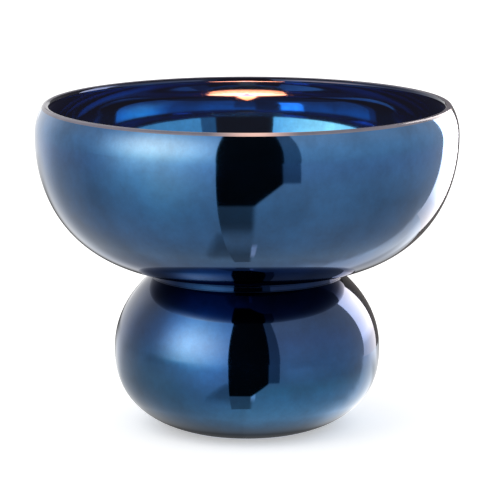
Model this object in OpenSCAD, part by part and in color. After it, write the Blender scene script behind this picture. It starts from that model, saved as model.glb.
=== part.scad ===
// Mirrored blue glass candle bowl on a hollow pebble foot, with a tealight standing inside.
// Units are millimetres. The origin is on the table, at the middle of the foot, and Z is up.

/* [Bowl] */
// Widest diameter of the bowl
bowl_d = 174; // [150:1:200]
// Depth of the bowl, from its widest line down to the middle of its underside
bowl_depth = 58.2; // [48:0.2:76]
// Fullness of the bowl's underside: 2 is an ellipse, more is flatter
bowl_base_fullness = 3.3; // [2.4:0.05:4]
// Fullness of the bowl's side below the widest line: 2 is an ellipse, more is straighter
bowl_side_fullness = 2.04; // [1.8:0.02:2.6]
// Height from the widest line up to the outer edge of the lip
shoulder_rise = 12.1; // [8:0.1:16]
// How far the lip's outer edge leans in from the widest line
shoulder_inset = 3.15; // [1:0.05:6]
// Fullness of the shoulder above the widest line: 2 is an ellipse
shoulder_fullness = 2.22; // [1.8:0.02:2.6]
// Thickness of the bowl's glass at the lip
bowl_wall = 3.2; // [2.5:0.1:5]
// Thickness of the bowl's glass in the middle of its base: it grows evenly with the depth
bowl_base_wall = 6.8; // [5:0.1:9]

/* [Foot] */
// Widest diameter of the foot
foot_d = 109.6; // [98:0.2:124]
// Height of the foot's widest line above the table
foot_middle_h = 33.2; // [26:0.2:42]
// Height of the outer edge of the foot's mouth above the table
foot_mouth_h = 63.2; // [54:0.2:76]
// Diameter of the foot's mouth at its outer edge
foot_mouth_d = 79; // [66:0.5:88]
// Fullness of the foot above its widest line: 2 is an ellipse
foot_crown_fullness = 2; // [1.8:0.02:2.6]
// Fullness of the foot below its widest line
foot_base_fullness = 2.5; // [2:0.02:3]
// Diameter of the flat ring that the foot stands on
base_d = 57; // [44:0.5:70]
// Width of that standing ring
stand_w = 8.5; // [5.5:0.1:12]
// Height of the raised middle of the base, inside the standing ring
kick_h = 1.6; // [0.8:0.1:4]
// Thickness of the foot's glass
foot_wall = 3.2; // [2.5:0.1:5]

/* [Bond] */
// Thickness of the clear adhesive between the foot's mouth and the bowl
bond_t = 1.6; // [0.6:0.1:3]
// Width of the adhesive ring
bond_w = 2.3; // [1.2:0.1:2.4]

/* [Tealight] */
// Outer diameter of the clear tealight cup
cup_d = 38.4; // [36:0.2:44]
// Height of the cup
cup_h = 16.6; // [15:0.2:22]
// Thickness of the cup's wall
cup_wall = 0.8; // [0.5:0.1:1.2]
// Thickness of the cup's floor
cup_floor = 0.8; // [0.5:0.1:1.5]
// Chamfer around the cup's underside
cup_chamfer = 1; // [0.4:0.1:1.6]
// Room on the bowl's flat floor around the cup
seat_clear = 1.6; // [0.6:0.1:4]
// Drop from the cup's top down to the edge of the wax
wax_drop = 2.8; // [1:0.1:4]
// Depth of the melted dish in the top of the wax
wax_dish = 1.2; // [0.4:0.1:2.5]
// Gap between the wax and the cup's wall
wax_clear = 0.3; // [0.2:0.05:0.8]
// Diameter of the wick
wick_d = 1.8; // [1.2:0.1:2.4]
// Length of wick standing above the middle of the wax
wick_reach = 8; // [4:0.5:12]
// Diameter of the wick sustainer's disc
sustainer_d = 12.6; // [10:0.2:18]
// Thickness of the sustainer's sheet metal
sustainer_t = 0.4; // [0.2:0.05:0.8]
// Height of the sustainer's crimped tube above its disc
tube_h = 4.6; // [3:0.2:6]

/* [Smoothness] */
// Straight steps in each long curve of the glass
curve_steps = 28; // [12:1:48]
// Straight steps in each rounded edge
edge_steps = 10; // [6:1:20]

/* [Hidden] */
$fn = 96;

bowl_r = bowl_d / 2;
foot_r = foot_d / 2;
base_r = base_d / 2;
kick_r = base_r - stand_w;
mouth_r = foot_mouth_d / 2;
cup_r = cup_d / 2;
wick_r = wick_d / 2;

// A quarter curve c is [half width, half height, fullness at its pole, fullness at its side, last turn].
// Its turn is 0 at the side and 90 at the pole.

// Height of the quarter curve c at radius r.
function curve_height(c, r) = c[1] * pow(1 - pow(r / c[0], c[2]), 1 / c[3]);

// A quarter curve of half width a and even fullness n that stops at radius r and height h.
function curve_through(a, n, r, h) =
    [a, h / curve_height([a, 1, n, n], r), n, n, acos(pow(r / a, n / 2))];

// Point of the quarter curve c at turn t.
function curve_point(c, t) = [c[0] * pow(cos(t), 2 / c[2]), c[1] * pow(sin(t), 2 / c[3])];

// Outward direction of the quarter curve c at turn t, of length 1.
function curve_normal(c, t) =
    let (v = [c[2] / c[0] * pow(cos(t), 2 - 2 / c[2]), c[3] / c[1] * pow(sin(t), 2 - 2 / c[3])])
    v / norm(v);

// Points along the quarter curve c from its given first step to its last turn, moved inwards by
// a wall that changes evenly with height, from w_side at the side to w_end at the last turn.
function curve_run(c, w_side, w_end, first) =
    let (end_height = curve_point(c, c[4])[1])
    [
        for (i = [first : curve_steps])
            let (t = c[4] * i / curve_steps)
            let (p = curve_point(c, t))
            p - curve_normal(c, t) * (w_side + (w_end - w_side) * p[1] / end_height)
    ];

// Round edge of a wall w thick, from its outer point p with outward direction d, both ends left out.
function round_edge(p, d, w) =
    let (start = atan2(d[1], d[0]))
    let (middle = p - d * w / 2)
    [
        for (i = [1 : edge_steps - 1])
            let (a = start + 180 * i / edge_steps)
            middle + w / 2 * [cos(a), sin(a)]
    ];

function raised(points, z) = [for (p = points) [p[0], z + p[1]]];
function lowered(points, z) = [for (p = points) [p[0], z - p[1]]];
function reversed(points) = [for (i = [len(points) - 1 : -1 : 0]) points[i]];
function outside_radius(points, r) = [for (p = points) if (p[0] > r) p];

// Glass wall with its widest line at height z, from its lower curve up to its upper curve, and the
// inside of that wall from the top down, where w is its thickness at [bottom, widest line, top].
function wall_outside(low, high, z) =
    concat(reversed(lowered(curve_run(low, 0, 0, 0), z)), raised(curve_run(high, 0, 0, 1), z));
function wall_inside(low, high, z, w) =
    concat(reversed(raised(curve_run(high, w[1], w[2], 1), z)), lowered(curve_run(low, w[1], w[0], 0), z));

// Curves of the foot, below and above its widest line.
foot_low = curve_through(foot_r, foot_base_fullness, base_r, foot_middle_h);
foot_high = curve_through(foot_r, foot_crown_fullness, mouth_r, foot_mouth_h - foot_middle_h);

// Round edge of the foot's mouth, which the adhesive ring sits on.
mouth_edge = [mouth_r, foot_mouth_h];
mouth_normal = curve_normal(foot_high, foot_high[4]);
mouth_middle = mouth_edge - mouth_normal * foot_wall / 2;
mouth_top_z = mouth_middle[1] + foot_wall / 2;

// Curves of the bowl, below its widest line and up to its in-turned lip.
lip_r = bowl_r - shoulder_inset;
bowl_low = [bowl_r, bowl_depth, bowl_base_fullness, bowl_side_fullness, 90];
bowl_high = curve_through(bowl_r, shoulder_fullness, lip_r, shoulder_rise);

// The bowl rests on the adhesive: its underside lies bond_t over the top of the foot's mouth.
widest_z = mouth_top_z + bond_t + curve_height(bowl_low, mouth_middle[0]);
lip_edge = [lip_r, widest_z + shoulder_rise];
lip_normal = curve_normal(bowl_high, bowl_high[4]);

// The bowl's glass at its base, its widest line and its lip.
bowl_side_wall = bowl_wall + (bowl_base_wall - bowl_wall) * shoulder_rise / (shoulder_rise + bowl_depth);
bowl_walls = [bowl_base_wall, bowl_side_wall, bowl_wall];
foot_walls = [foot_wall, foot_wall, foot_wall];

// Flat floor in the bowl, as wide as the tealight and its room, at the glass's thickness there.
seat_r = cup_r + seat_clear;
seat_z = widest_z + bowl_base_wall - curve_height(bowl_low, seat_r);

// Sizes inside the tealight.
wax_z = seat_z + cup_floor;
wax_r = cup_r - cup_wall - wax_clear;
wax_h = cup_h - cup_floor - wax_drop;
tube_r = wick_r + sustainer_t;
wick_top_z = wax_z + wax_h - wax_dish + wick_reach;

glass_blue = [0.16, 0.30, 0.48];
glass_clear = [0.82, 0.88, 0.92];
wax_white = [0.96, 0.93, 0.86];
cotton_white = [0.90, 0.88, 0.82];
tin_grey = [0.72, 0.73, 0.75];

// The bowl filled to its brim, which cuts what lies against its underside.
module bowl_filled_section() {
    polygon(concat(wall_outside(bowl_low, bowl_high, widest_z), [[0, lip_edge[1]]]));
}

module bowl_section() {
    polygon(concat(
        wall_outside(bowl_low, bowl_high, widest_z),
        round_edge(lip_edge, lip_normal, bowl_wall),
        outside_radius(wall_inside(bowl_low, bowl_high, widest_z, bowl_walls), seat_r),
        [[seat_r, seat_z], [0, seat_z]]
    ));
}

// Hollow foot with a closed base, whose middle is raised with sides at 45 degrees, and an open mouth.
module foot_section() {
    kick_top_r = kick_r - kick_h;
    inside_floor_r = base_r - foot_wall;
    polygon(concat(
        [[0, kick_h], [kick_top_r, kick_h], [kick_r, 0]],
        wall_outside(foot_low, foot_high, foot_middle_h),
        round_edge(mouth_edge, mouth_normal, foot_wall),
        outside_radius(wall_inside(foot_low, foot_high, foot_middle_h, foot_walls), inside_floor_r),
        [[inside_floor_r, foot_wall], [kick_r, foot_wall]],
        [[kick_top_r, foot_wall + kick_h], [0, foot_wall + kick_h]]
    ));
}

module bowl() {
    color(glass_blue)
        rotate_extrude()
            bowl_section();
}

module foot() {
    color(glass_blue)
        rotate_extrude()
            foot_section();
}

// Ring of cured adhesive that hugs the foot's round edge and the bowl's underside.
module bond_ring() {
    color(glass_clear)
        rotate_extrude()
            difference() {
                translate([mouth_middle[0] - bond_w / 2, mouth_middle[1]])
                    square([bond_w, widest_z - mouth_middle[1]]);
                foot_section();
                bowl_filled_section();
            }
}

module tealight_cup() {
    top_edge = [cup_r, seat_z + cup_h - cup_wall / 2];
    color(glass_clear)
        rotate_extrude()
            polygon(concat(
                [[0, seat_z], [cup_r - cup_chamfer, seat_z], [cup_r, seat_z + cup_chamfer], top_edge],
                round_edge(top_edge, [1, 0], cup_wall),
                [[cup_r - cup_wall, top_edge[1]], [cup_r - cup_wall, wax_z + cup_chamfer]],
                [[cup_r - cup_wall - cup_chamfer, wax_z], [0, wax_z]]
            ));
}

// Wax with its lower edge cut like the cup's inside corner and a melted dish in its top.
module candle_wax() {
    dish = [
        for (i = [0 : edge_steps])
            let (r = wax_r * (1 - i / edge_steps))
            [r, wax_z + wax_h - wax_dish * (1 - pow(r / wax_r, 2))]
    ];
    under = [[0, wax_z], [wax_r - cup_chamfer, wax_z], [wax_r, wax_z + cup_chamfer]];
    color(wax_white)
        rotate_extrude()
            difference() {
                polygon(concat(under, dish));
                sustainer_outline();
                translate([0, wax_z])
                    square([wick_r, wax_h]);
            }
}

// Outline of the sustainer with its bore filled.
module sustainer_outline() {
    translate([0, wax_z])
        square([sustainer_d / 2, sustainer_t]);
    translate([0, wax_z])
        square([tube_r, sustainer_t + tube_h]);
}

module wick_sustainer() {
    color(tin_grey)
        rotate_extrude()
            difference() {
                sustainer_outline();
                translate([0, wax_z])
                    square([wick_r, sustainer_t + tube_h]);
            }
}

// Braided cotton wick from the underside of the sustainer to its burnt, tapered tip.
module wick() {
    tip = wick_r / 2;
    color(cotton_white)
        rotate_extrude()
            polygon([
                [0, wax_z],
                [wick_r, wax_z],
                [wick_r, wick_top_z - tip],
                [wick_r - tip, wick_top_z],
                [0, wick_top_z]
            ]);
}

bowl();
foot();
bond_ring();
tealight_cup();
candle_wax();
wick();
wick_sustainer();
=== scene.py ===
"""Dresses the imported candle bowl: mirrored blue glass, a lit tealight and a plain studio."""

import logging
import math
from collections.abc import Callable, Mapping, Sequence
from dataclasses import dataclass, field
from enum import Enum

import bpy
from bpy.types import ID, Material, Mesh, Node, NodeSocket, NodeTree, Object
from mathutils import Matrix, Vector


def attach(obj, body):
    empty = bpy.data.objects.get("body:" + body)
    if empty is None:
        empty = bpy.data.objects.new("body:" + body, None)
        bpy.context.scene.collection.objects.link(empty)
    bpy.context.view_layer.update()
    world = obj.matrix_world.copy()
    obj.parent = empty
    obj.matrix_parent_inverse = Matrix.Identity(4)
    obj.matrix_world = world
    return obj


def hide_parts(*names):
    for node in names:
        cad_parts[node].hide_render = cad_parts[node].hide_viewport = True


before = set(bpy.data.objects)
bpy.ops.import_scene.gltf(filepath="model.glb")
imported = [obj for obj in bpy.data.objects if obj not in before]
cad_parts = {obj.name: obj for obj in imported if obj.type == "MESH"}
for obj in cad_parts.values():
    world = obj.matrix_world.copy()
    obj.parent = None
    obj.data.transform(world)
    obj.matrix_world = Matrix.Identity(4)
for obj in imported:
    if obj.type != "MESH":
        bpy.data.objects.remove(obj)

LOG = logging.getLogger("candle_bowl")
MM = 0.001

Point = tuple[float, float]
Place = tuple[float, float, float]
Light = tuple[float, float, float]
Colour = tuple[float, float, float, float]
Inputs = Mapping[str | int, object]

# The outer lustre by height in millimetres: its own blue, darkened towards the neck between foot and bowl
# as painted shade.
OUTER_LUSTRE_AND_SHADE = (
    (0, "#326A96"), (16, "#29638E"), (21, "#1D5A87"), (26, "#0D507A"), (29.5, "#0D4774"),
    (34, "#18497A"), (38, "#1A4575"), (45, "#1D3E6C"), (51, "#1F3B62"), (56, "#1C3356"),
    (63, "#0D1F3E"), (72, "#0D2B5B"), (77, "#18426E"), (83, "#265077"), (90, "#1F4B75"),
    (103, "#1D4E7A"), (108, "#235482"), (113, "#295A8A"), (119, "#2D5E93"), (122, "#306399"),
    (124.5, "#336A9E"), (128, "#3B71A5"), (131, "#4573A3"), (135, "#4573A3"),
)
# Painted light on the foot, each as place, tint and reach: a painted highlight at the front left and
# painted shade low on the left.
OUTER_PAINTED_LIGHT = (((-19.0, -49.0, 43.0), "#2860A0", 34.0), ((-37.0, -36.0, 18.0), "#16496C", 36.0))
# The inner lustre by height, which thins to grey below the lip.
INNER_LUSTRE = (
    (0, "#3682BE"), (119.5, "#3682BE"), (124, "#48587C"),
    (132.2, "#48587C"), (133.4, "#232B40"), (135, "#232B40"),
)


class Body(Enum):
    """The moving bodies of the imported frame."""

    HOLDER = "holder"
    TEALIGHT = "tealight"
    CANDLE = "candle"


class Zone(Enum):
    """The three finishes that a turned piece may carry along its section."""

    FIRST = 0.0
    SECOND = 1.0
    THIRD = 2.0

    @property
    def finish(self) -> str:
        """Name of the lathe's input for this zone's finish."""
        return f"{self.name.title()} Finish"


def linear(hex_colour: str, alpha: float = 1.0) -> Colour:
    """Turns an sRGB hex colour to linear.

    Args:
        hex_colour: Six hex digits after a hash sign.
        alpha: The fourth channel.

    Returns:
        Linear red, green, blue and alpha.
    """
    parts = [int(hex_colour[i : i + 2], 16) / 255 for i in (1, 3, 5)]
    red, green, blue = (c / 12.92 if c <= 0.04045 else ((c + 0.055) / 1.055) ** 2.4 for c in parts)
    return (red, green, blue, alpha)


class Tree:
    """A node tree that takes its nodes one by one."""

    def __init__(self, tree: NodeTree) -> None:
        """Takes a tree and clears it."""
        self.tree = tree
        tree.nodes.clear()

    def add(self, kind: str, inputs: Inputs | None = None, **settings: object) -> Node:
        """Adds one node with its settings and links.

        Args:
            kind: The node's type name.
            inputs: Sockets by name or place, each with a value, or with the socket or node that feeds it.
            settings: Properties of the node.

        Returns:
            The new node.
        """
        node = self.tree.nodes.new(kind)
        for name, value in settings.items():
            setattr(node, name, value)
        for key, value in (inputs or {}).items():
            if isinstance(value, Node):
                value = next(socket for socket in value.outputs if socket.enabled)
            if isinstance(value, NodeSocket):
                self.tree.links.new(value, node.inputs[key])
            else:
                node.inputs[key].default_value = value
        return node


class MaterialTree(Tree):
    """The nodes of one material."""

    def __init__(self, name: str) -> None:
        """Starts the material.

        Args:
            name: The material's name.
        """
        self.material = bpy.data.materials.new(name)
        self.material.use_nodes = True
        super().__init__(self.material.node_tree)

    def mirror_level(self, plain: float, mirrored: float) -> Node:
        """Adds a glow level, painted higher where it is seen in one mirror, to show a dazzling flame.

        Args:
            plain: The level seen directly.
            mirrored: The level seen in a mirror.

        Returns:
            The node that gives the level.
        """
        depth = self.add("ShaderNodeLightPath").outputs["Glossy Depth"]
        once = self.add("ShaderNodeMath", {0: depth, 1: 1.0}, operation="PINGPONG")
        return self.add("ShaderNodeMapRange", {"Value": once, "To Min": plain, "To Max": mirrored})

    def end(self, shader: Node) -> Material:
        """Links the shader to the surface, and gives the finished material."""
        self.add("ShaderNodeOutputMaterial", {"Surface": shader})
        return self.material


@dataclass(frozen=True)
class MirroredGlass:
    """Blown glass under a blue metallic lustre, fire-polished.

    The eye sees a sharp dark blue mirror with slow clouds in it, under a thin neutral gloss that turns
    white at the edges. The lustre changes with height, from pale blue at the bowl's shoulder to violet
    navy on the foot's crown, and is darkened towards the neck between foot and bowl as painted shade.
    A few painted patches add a painted highlight or painted shade. At a waist, between two heights, the
    gloss is painted weaker, as painted shade. A painted glow stands for the dim light inside the bowl.
    """

    name: str
    lustre: tuple[tuple[float, str], ...]
    patches: tuple[tuple[Place, str, float], ...] = ()
    waist: Point | None = None
    shaded_waist_gloss: float = 0.25
    coat: float = 0.6
    painted_glow: str = "#000000"
    cloud_mm: float = 20.0
    cloud_depth: float = 0.25
    roughness: float = 0.045
    haze: float = 0.03
    wave_mm: float = 46.0
    wave_depth_mm: float = 0.05
    patch_core: float = 0.2

    def build(self) -> Material:
        """Builds the mirror.

        Returns:
            The material.
        """
        made = MaterialTree(self.name)
        add = made.add
        place = add("ShaderNodeTexCoord").outputs["Object"]
        height = add("ShaderNodeSeparateXYZ", {"Vector": place}).outputs["Z"]
        top = self.lustre[-1][0]
        rise = add("ShaderNodeMapRange", {"Value": height, "From Max": top * MM})
        tint = add("ShaderNodeValToRGB", {"Fac": rise})
        stops = tint.color_ramp.elements
        for z, _ in self.lustre[1:-1]:
            stops.new(z / top)
        # Painted shade: stops between the waist's two heights carry a low alpha, which weakens the gloss
        # there.
        low, high = self.waist or (0.0, 0.0)
        for stop, (z, colour) in zip(stops, self.lustre):
            stop.position = z / top
            stop.color = linear(colour, self.shaded_waist_gloss if low < z < high else 1.0)
        lustre: Node = tint
        # Painted light: each patch blends in a lighter tint as a painted highlight or a darker one as
        # painted shade.
        for spot, colour, reach in self.patches:
            centre = tuple(part * MM for part in spot)
            away = add("ShaderNodeVectorMath", {0: place, 1: centre}, operation="DISTANCE")
            core, rim = self.patch_core * reach * MM, reach * MM
            fade = {"From Min": core, "From Max": rim, "To Min": 1.0, "To Max": 0.0}
            painted_share = add("ShaderNodeMapRange", {"Value": away, **fade}, interpolation_type="SMOOTHSTEP")
            lustre = add("ShaderNodeMix", {"Factor": painted_share, 6: lustre, 7: linear(colour)}, data_type="RGBA")
        drift = {"Vector": place, "Scale": 1 / (self.cloud_mm * MM), "Detail": 5.0, "Roughness": 0.74}
        clouds = add("ShaderNodeTexNoise", drift)
        thin, dense = 1 - self.cloud_depth, 1 + self.cloud_depth
        spread = {"Value": clouds, "From Min": 0.3, "From Max": 0.7, "To Min": thin, "To Max": dense}
        level = add("ShaderNodeMapRange", spread)
        lustre = add("ShaderNodeVectorMath", {0: lustre, "Scale": level}, operation="SCALE")
        clear, dull = self.roughness, self.roughness + self.haze
        hazy = {"Value": clouds, "From Min": 0.35, "From Max": 0.7, "To Min": clear, "To Max": dull}
        scale = 1 / (self.wave_mm * MM)
        waves = add("ShaderNodeTexNoise", {"Vector": place, "Scale": scale, "Detail": 1.0})
        depth = self.wave_depth_mm * MM
        gloss: float | Node = self.coat
        # The stops' alpha scales the gloss, so the waist's painted shade dims it.
        if self.waist:
            gloss = add("ShaderNodeMath", {0: tint.outputs["Alpha"], 1: self.coat}, operation="MULTIPLY")
        surface = {
            "Base Color": lustre,
            "Metallic": 1.0,
            "Roughness": add("ShaderNodeMapRange", hazy),
            # Painted light: a dim glow emitted by the surface itself.
            "Emission Color": linear(self.painted_glow),
            "Emission Strength": 1.0,
            "Coat Weight": gloss,
            "Coat Roughness": 0.03,
            "Normal": add("ShaderNodeBump", {"Strength": 1.0, "Distance": depth, "Height": waves}),
        }
        return made.end(add("ShaderNodeBsdfPrincipled", surface))


@dataclass(frozen=True)
class BareLipGlass:
    """Fire-polished soda glass at the lip, where the lustre stops.

    The eye sees a grey rounded edge with sharp small highlights, faint streaks along it and a painted
    warm glint in front of the candle, a glow round one fixed place that stands for the candle's light.
    """

    name: str = "soda_glass_lip"
    body: str = "#63606B"
    streak: str = "#7B7681"
    streak_mm: float = 6.0
    roughness: float = 0.12
    glint: str = "#FFC8AE"
    glint_level: float = 0.76
    glint_at: Place = (3.0, -82.0, 134.0)
    glint_mm: float = 19.0

    def build(self) -> Material:
        """Builds the bare glass.

        Returns:
            The material.
        """
        made = MaterialTree(self.name)
        add = made.add
        place = add("ShaderNodeTexCoord").outputs["Object"]
        scale = 1 / (self.streak_mm * MM)
        streaks = add("ShaderNodeTexNoise", {"Vector": place, "Scale": scale, "Detail": 2.0})
        tints = {"Factor": streaks, 6: linear(self.body), 7: linear(self.streak)}
        # Painted highlight: a warm glow that fades out round one fixed place on the lip's front.
        centre = tuple(part * MM for part in self.glint_at)
        away = add("ShaderNodeVectorMath", {0: place, 1: centre}, operation="DISTANCE")
        fade = {"From Max": self.glint_mm * MM, "To Min": self.glint_level, "To Max": 0.0}
        surface = {
            "Base Color": add("ShaderNodeMix", tints, data_type="RGBA"),
            "Metallic": 0.05,
            "Roughness": self.roughness,
            "Specular IOR Level": 0.15,
            "Coat Weight": 0.25,
            "Coat Roughness": 0.02,
            "Emission Color": linear(self.glint),
            "Emission Strength": add(
                "ShaderNodeMapRange", {"Value": away, **fade}, interpolation_type="SMOOTHSTEP"
            ),
        }
        return made.end(add("ShaderNodeBsdfPrincipled", surface))


@dataclass(frozen=True)
class ClearResin:
    """Clear cast or moulded resin: cured adhesive, or a polycarbonate cup.

    The eye sees what is behind it, with a bright rim, a little tint and fine waviness from the mould.
    """

    name: str
    tint: str
    ior: float
    roughness: float
    wave_mm: float
    wave_depth_mm: float = 0.05

    def build(self) -> Material:
        """Builds the clear resin.

        Returns:
            The material.
        """
        made = MaterialTree(self.name)
        add = made.add
        place = add("ShaderNodeTexCoord").outputs["Object"]
        scale = 1 / (self.wave_mm * MM)
        waves = add("ShaderNodeTexNoise", {"Vector": place, "Scale": scale, "Detail": 2.0})
        depth = self.wave_depth_mm * MM
        surface = {
            "Base Color": linear(self.tint),
            "Roughness": self.roughness,
            "IOR": self.ior,
            "Transmission Weight": 1.0,
            "Normal": add("ShaderNodeBump", {"Strength": 0.3, "Distance": depth, "Height": waves}),
        }
        return made.end(add("ShaderNodeBsdfPrincipled", surface))


@dataclass(frozen=True)
class ParaffinWax:
    """White paraffin, cast, with a melted pool round the burning wick.

    The eye sees a soft cream body with a painted warm glow that stands for the flame's light through it,
    warmest and wettest at the pool and strongest near the top. In the dark mirrors the glow is painted far
    brighter, at the strength that a lit candle has beside a white table.
    """

    top_z_mm: float
    name: str = "paraffin_wax"
    solid: str = "#E2D8C6"
    pool: str = "#DCCAA8"
    glow_side: str = "#FF8044"
    glow_pool: str = "#FF9458"
    glow_depth_mm: float = 12.0
    plain_level: float = 0.07
    mirrored_level: float = 42.0
    pool_radius_mm: float = 13.0
    pool_edge_mm: float = 1.5
    grain_mm: float = 1.6
    grain_depth_mm: float = 0.05

    def build(self) -> Material:
        """Builds the wax.

        Returns:
            The material.
        """
        made = MaterialTree(self.name)
        add = made.add
        place = add("ShaderNodeTexCoord").outputs["Object"]
        parts = add("ShaderNodeSeparateXYZ", {"Vector": place}).outputs
        flat = add("ShaderNodeCombineXYZ", {"X": parts["X"], "Y": parts["Y"]})
        reach = add("ShaderNodeVectorMath", {0: flat}, operation="LENGTH")
        near, far = self.pool_radius_mm - self.pool_edge_mm, self.pool_radius_mm + self.pool_edge_mm
        edge = {"Value": reach, "From Min": near * MM, "From Max": far * MM, "To Min": 1.0, "To Max": 0.0}
        pool = add("ShaderNodeMapRange", edge, interpolation_type="SMOOTHSTEP")
        # Painted light: the glow is strongest at the top, near the flame, and falls to 0.35 of it lower
        # down.
        deep = (self.top_z_mm - self.glow_depth_mm) * MM
        lit = {"Value": parts["Z"], "From Min": deep, "From Max": self.top_z_mm * MM, "To Min": 0.35}
        height = add("ShaderNodeMapRange", lit, interpolation_type="SMOOTHSTEP")
        tints = {"Factor": pool, 6: linear(self.solid), 7: linear(self.pool)}
        glows = {"Factor": pool, 6: linear(self.glow_side), 7: linear(self.glow_pool)}
        # Painted light: the glow is painted far brighter where the wax is seen in a mirror.
        level = {0: height, 1: made.mirror_level(self.plain_level, self.mirrored_level)}
        scale = 1 / (self.grain_mm * MM)
        grain = add("ShaderNodeTexNoise", {"Vector": place, "Scale": scale, "Detail": 3.0})
        depth = self.grain_depth_mm * MM
        surface = {
            "Base Color": add("ShaderNodeMix", tints, data_type="RGBA"),
            "Roughness": add("ShaderNodeMapRange", {"Value": pool, "To Min": 0.45, "To Max": 0.06}),
            "IOR": 1.44,
            "Subsurface Weight": 0.5,
            "Subsurface Radius": (0.004, 0.003, 0.002),
            "Subsurface Scale": 1.0,
            "Emission Color": add("ShaderNodeMix", glows, data_type="RGBA"),
            "Emission Strength": add("ShaderNodeMath", level, operation="MULTIPLY"),
            "Normal": add("ShaderNodeBump", {"Strength": 0.2, "Distance": depth, "Height": grain}),
        }
        return made.end(add("ShaderNodeBsdfPrincipled", surface))


@dataclass(frozen=True)
class CottonWick:
    """Braided cotton, waxed below and burnt above.

    The eye sees cream strands that turn black along the burnt end, with an ember at the tip.
    """

    tip_z_mm: float
    name: str = "braided_cotton_wick"
    cotton: str = "#E9DFC8"
    char: str = "#15100D"
    char_mm: float = 6.3
    char_edge_mm: float = 2.0
    ember: str = "#FF5A14"
    ember_mm: float = 1.0
    ember_level: float = 6.0
    thread_mm: float = 0.25
    thread_depth_mm: float = 0.1

    def build(self) -> Material:
        """Builds the cotton.

        Returns:
            The material.
        """
        made = MaterialTree(self.name)
        add = made.add
        place = add("ShaderNodeTexCoord").outputs["Object"]
        height = add("ShaderNodeSeparateXYZ", {"Vector": place}).outputs["Z"]
        low = self.tip_z_mm - self.char_mm
        black = {"From Min": low * MM, "From Max": (low + self.char_edge_mm) * MM}
        burnt = add("ShaderNodeMapRange", {"Value": height, **black})
        tints = {"Factor": burnt, 6: linear(self.cotton), 7: linear(self.char)}
        hot = {"From Min": (self.tip_z_mm - self.ember_mm) * MM, "From Max": self.tip_z_mm * MM}
        scale = 1 / (self.thread_mm * MM)
        threads = add("ShaderNodeTexNoise", {"Vector": place, "Scale": scale, "Detail": 2.0})
        depth = self.thread_depth_mm * MM
        surface = {
            "Base Color": add("ShaderNodeMix", tints, data_type="RGBA"),
            "Roughness": 0.85,
            "Emission Color": linear(self.ember),
            "Emission Strength": add(
                "ShaderNodeMapRange", {"Value": height, **hot, "To Max": self.ember_level}
            ),
            "Normal": add("ShaderNodeBump", {"Strength": 0.6, "Distance": depth, "Height": threads}),
        }
        return made.end(add("ShaderNodeBsdfPrincipled", surface))


@dataclass(frozen=True)
class TinnedSteel:
    """Thin pressed steel sheet with a tin coat.

    The eye sees a pale grey metal with a soft gloss and fine rolling marks.
    """

    name: str = "tinned_steel_sheet"
    light: str = "#C9CCD0"
    dark: str = "#A6A9AE"
    mark_mm: float = 0.4
    mark_stretch: Place = (1.0, 0.1, 1.0)

    def build(self) -> Material:
        """Builds the tinned sheet.

        Returns:
            The material.
        """
        made = MaterialTree(self.name)
        add = made.add
        place = add("ShaderNodeTexCoord").outputs["Object"]
        drawn = add("ShaderNodeMapping", {"Vector": place, "Scale": self.mark_stretch})
        scale = 1 / (self.mark_mm * MM)
        marks = add("ShaderNodeTexNoise", {"Vector": drawn, "Scale": scale, "Detail": 2.0})
        tints = {"Factor": marks, 6: linear(self.light), 7: linear(self.dark)}
        surface = {
            "Base Color": add("ShaderNodeMix", tints, data_type="RGBA"),
            "Metallic": 1.0,
            "Roughness": add("ShaderNodeMapRange", {"Value": marks, "To Min": 0.22, "To Max": 0.4}),
        }
        return made.end(add("ShaderNodeBsdfPrincipled", surface))


@dataclass(frozen=True)
class CandleFlame:
    """A small steady candle flame.

    The eye sees a white-yellow body that turns orange at its tip and dim blue at its foot.
    """

    base_z_mm: float
    height_mm: float
    name: str = "candle_flame"
    foot: str = "#4C66FF"
    heart: str = "#FF8A50"
    tip: str = "#FF7030"
    foot_at: float = 0.02
    heart_at: float = 0.3
    foot_level: float = 0.05
    plain_level: float = 6.0
    mirrored_level: float = 45.0

    def build(self) -> Material:
        """Builds the glowing gas.

        Returns:
            The material.
        """
        made = MaterialTree(self.name)
        add = made.add
        place = add("ShaderNodeTexCoord").outputs["Object"]
        height = add("ShaderNodeSeparateXYZ", {"Vector": place}).outputs["Z"]
        low, high = self.base_z_mm * MM, (self.base_z_mm + self.height_mm) * MM
        rise = add("ShaderNodeMapRange", {"Value": height, "From Min": low, "From Max": high})
        ramp = add("ShaderNodeValToRGB", {"Fac": rise})
        stops = ramp.color_ramp.elements
        stops.new(self.heart_at)
        colours = ((self.foot_at, self.foot), (self.heart_at, self.heart), (1.0, self.tip))
        for stop, (share, colour) in zip(stops, colours):
            stop.position = share
            stop.color = linear(colour)
        swell = {"Value": rise, "From Max": self.heart_at, "To Min": self.foot_level}
        # Painted light: the flame's glow is painted far brighter where it is seen in a mirror.
        level = {
            0: add("ShaderNodeMapRange", swell, interpolation_type="SMOOTHSTEP"),
            1: made.mirror_level(self.plain_level, self.mirrored_level),
        }
        strength = add("ShaderNodeMath", level, operation="MULTIPLY")
        return made.end(add("ShaderNodeEmission", {"Color": ramp, "Strength": strength}))


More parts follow.
